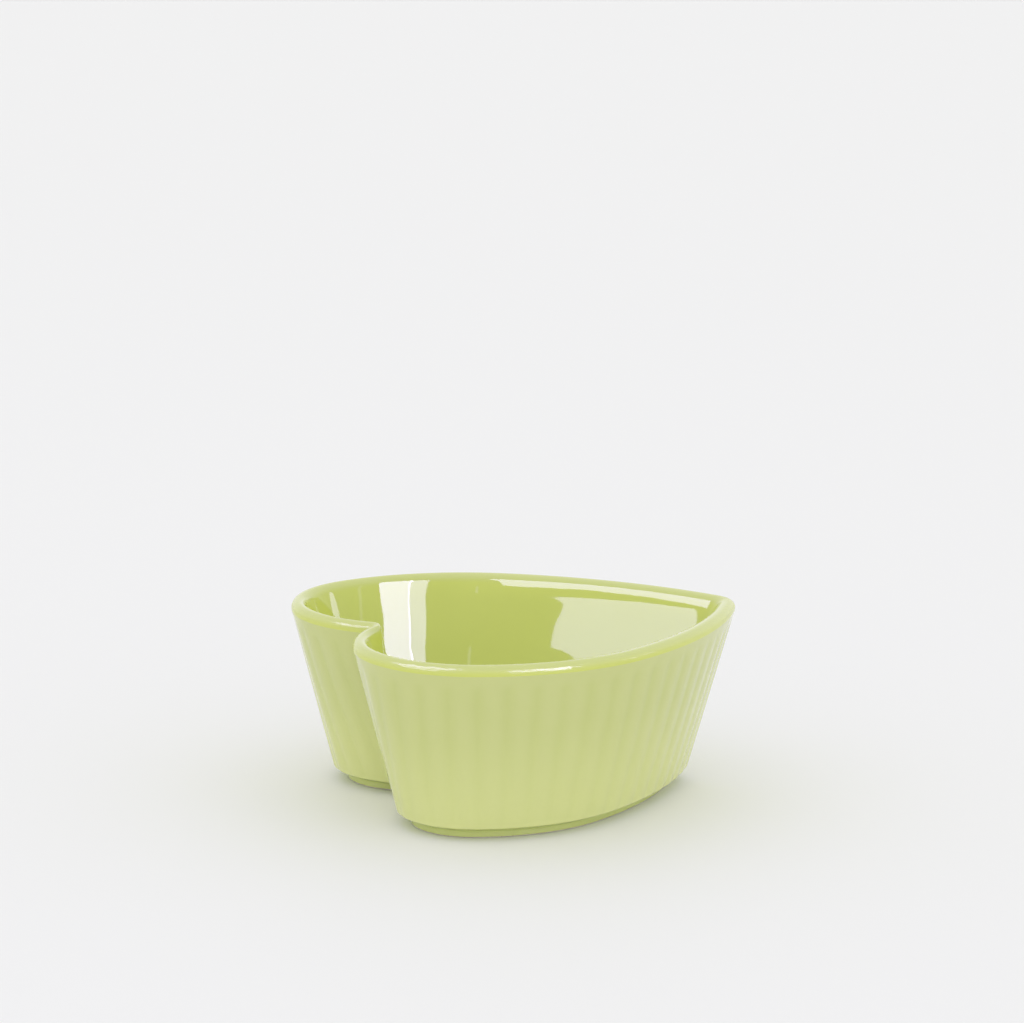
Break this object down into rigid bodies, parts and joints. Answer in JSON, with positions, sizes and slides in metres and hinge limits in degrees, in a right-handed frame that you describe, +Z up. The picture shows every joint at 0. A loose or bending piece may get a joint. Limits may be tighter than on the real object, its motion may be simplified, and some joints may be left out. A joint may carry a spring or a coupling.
{
  "type": "heart-shaped dip dish",
  "caption": "Heart-shaped stoneware serving dish with a fluted sloping wall, a plain round lip and a low foot ring.",
  "frame": {"origin": "middle of the dish's outline, on the flat it stands on", "axes": "+Z up through the open top; +X towards the heart's pointed end; the heart is the same on both sides of the XZ plane"},
  "size_m": [0.1198, 0.1188, 0.0507],
  "materials": {
    "bare_clay": "matte, dry fired stoneware",
    "inside_glaze": "glossy yellow-green glaze",
    "outside_glaze": "satin-gloss yellow-green glaze, paler over the ribs",
    "foot_glaze": "glossy, darker where the glaze has run and pooled",
    "base_glaze": "glossy, thin"
  },
  "bodies": {
    "root": {"clay_body": "bare_clay", "liner_glaze": "inside_glaze", "outer_glaze": "outside_glaze", "foot_glaze": "foot_glaze", "base_glaze": "base_glaze"}
  },
  "joints": []
}
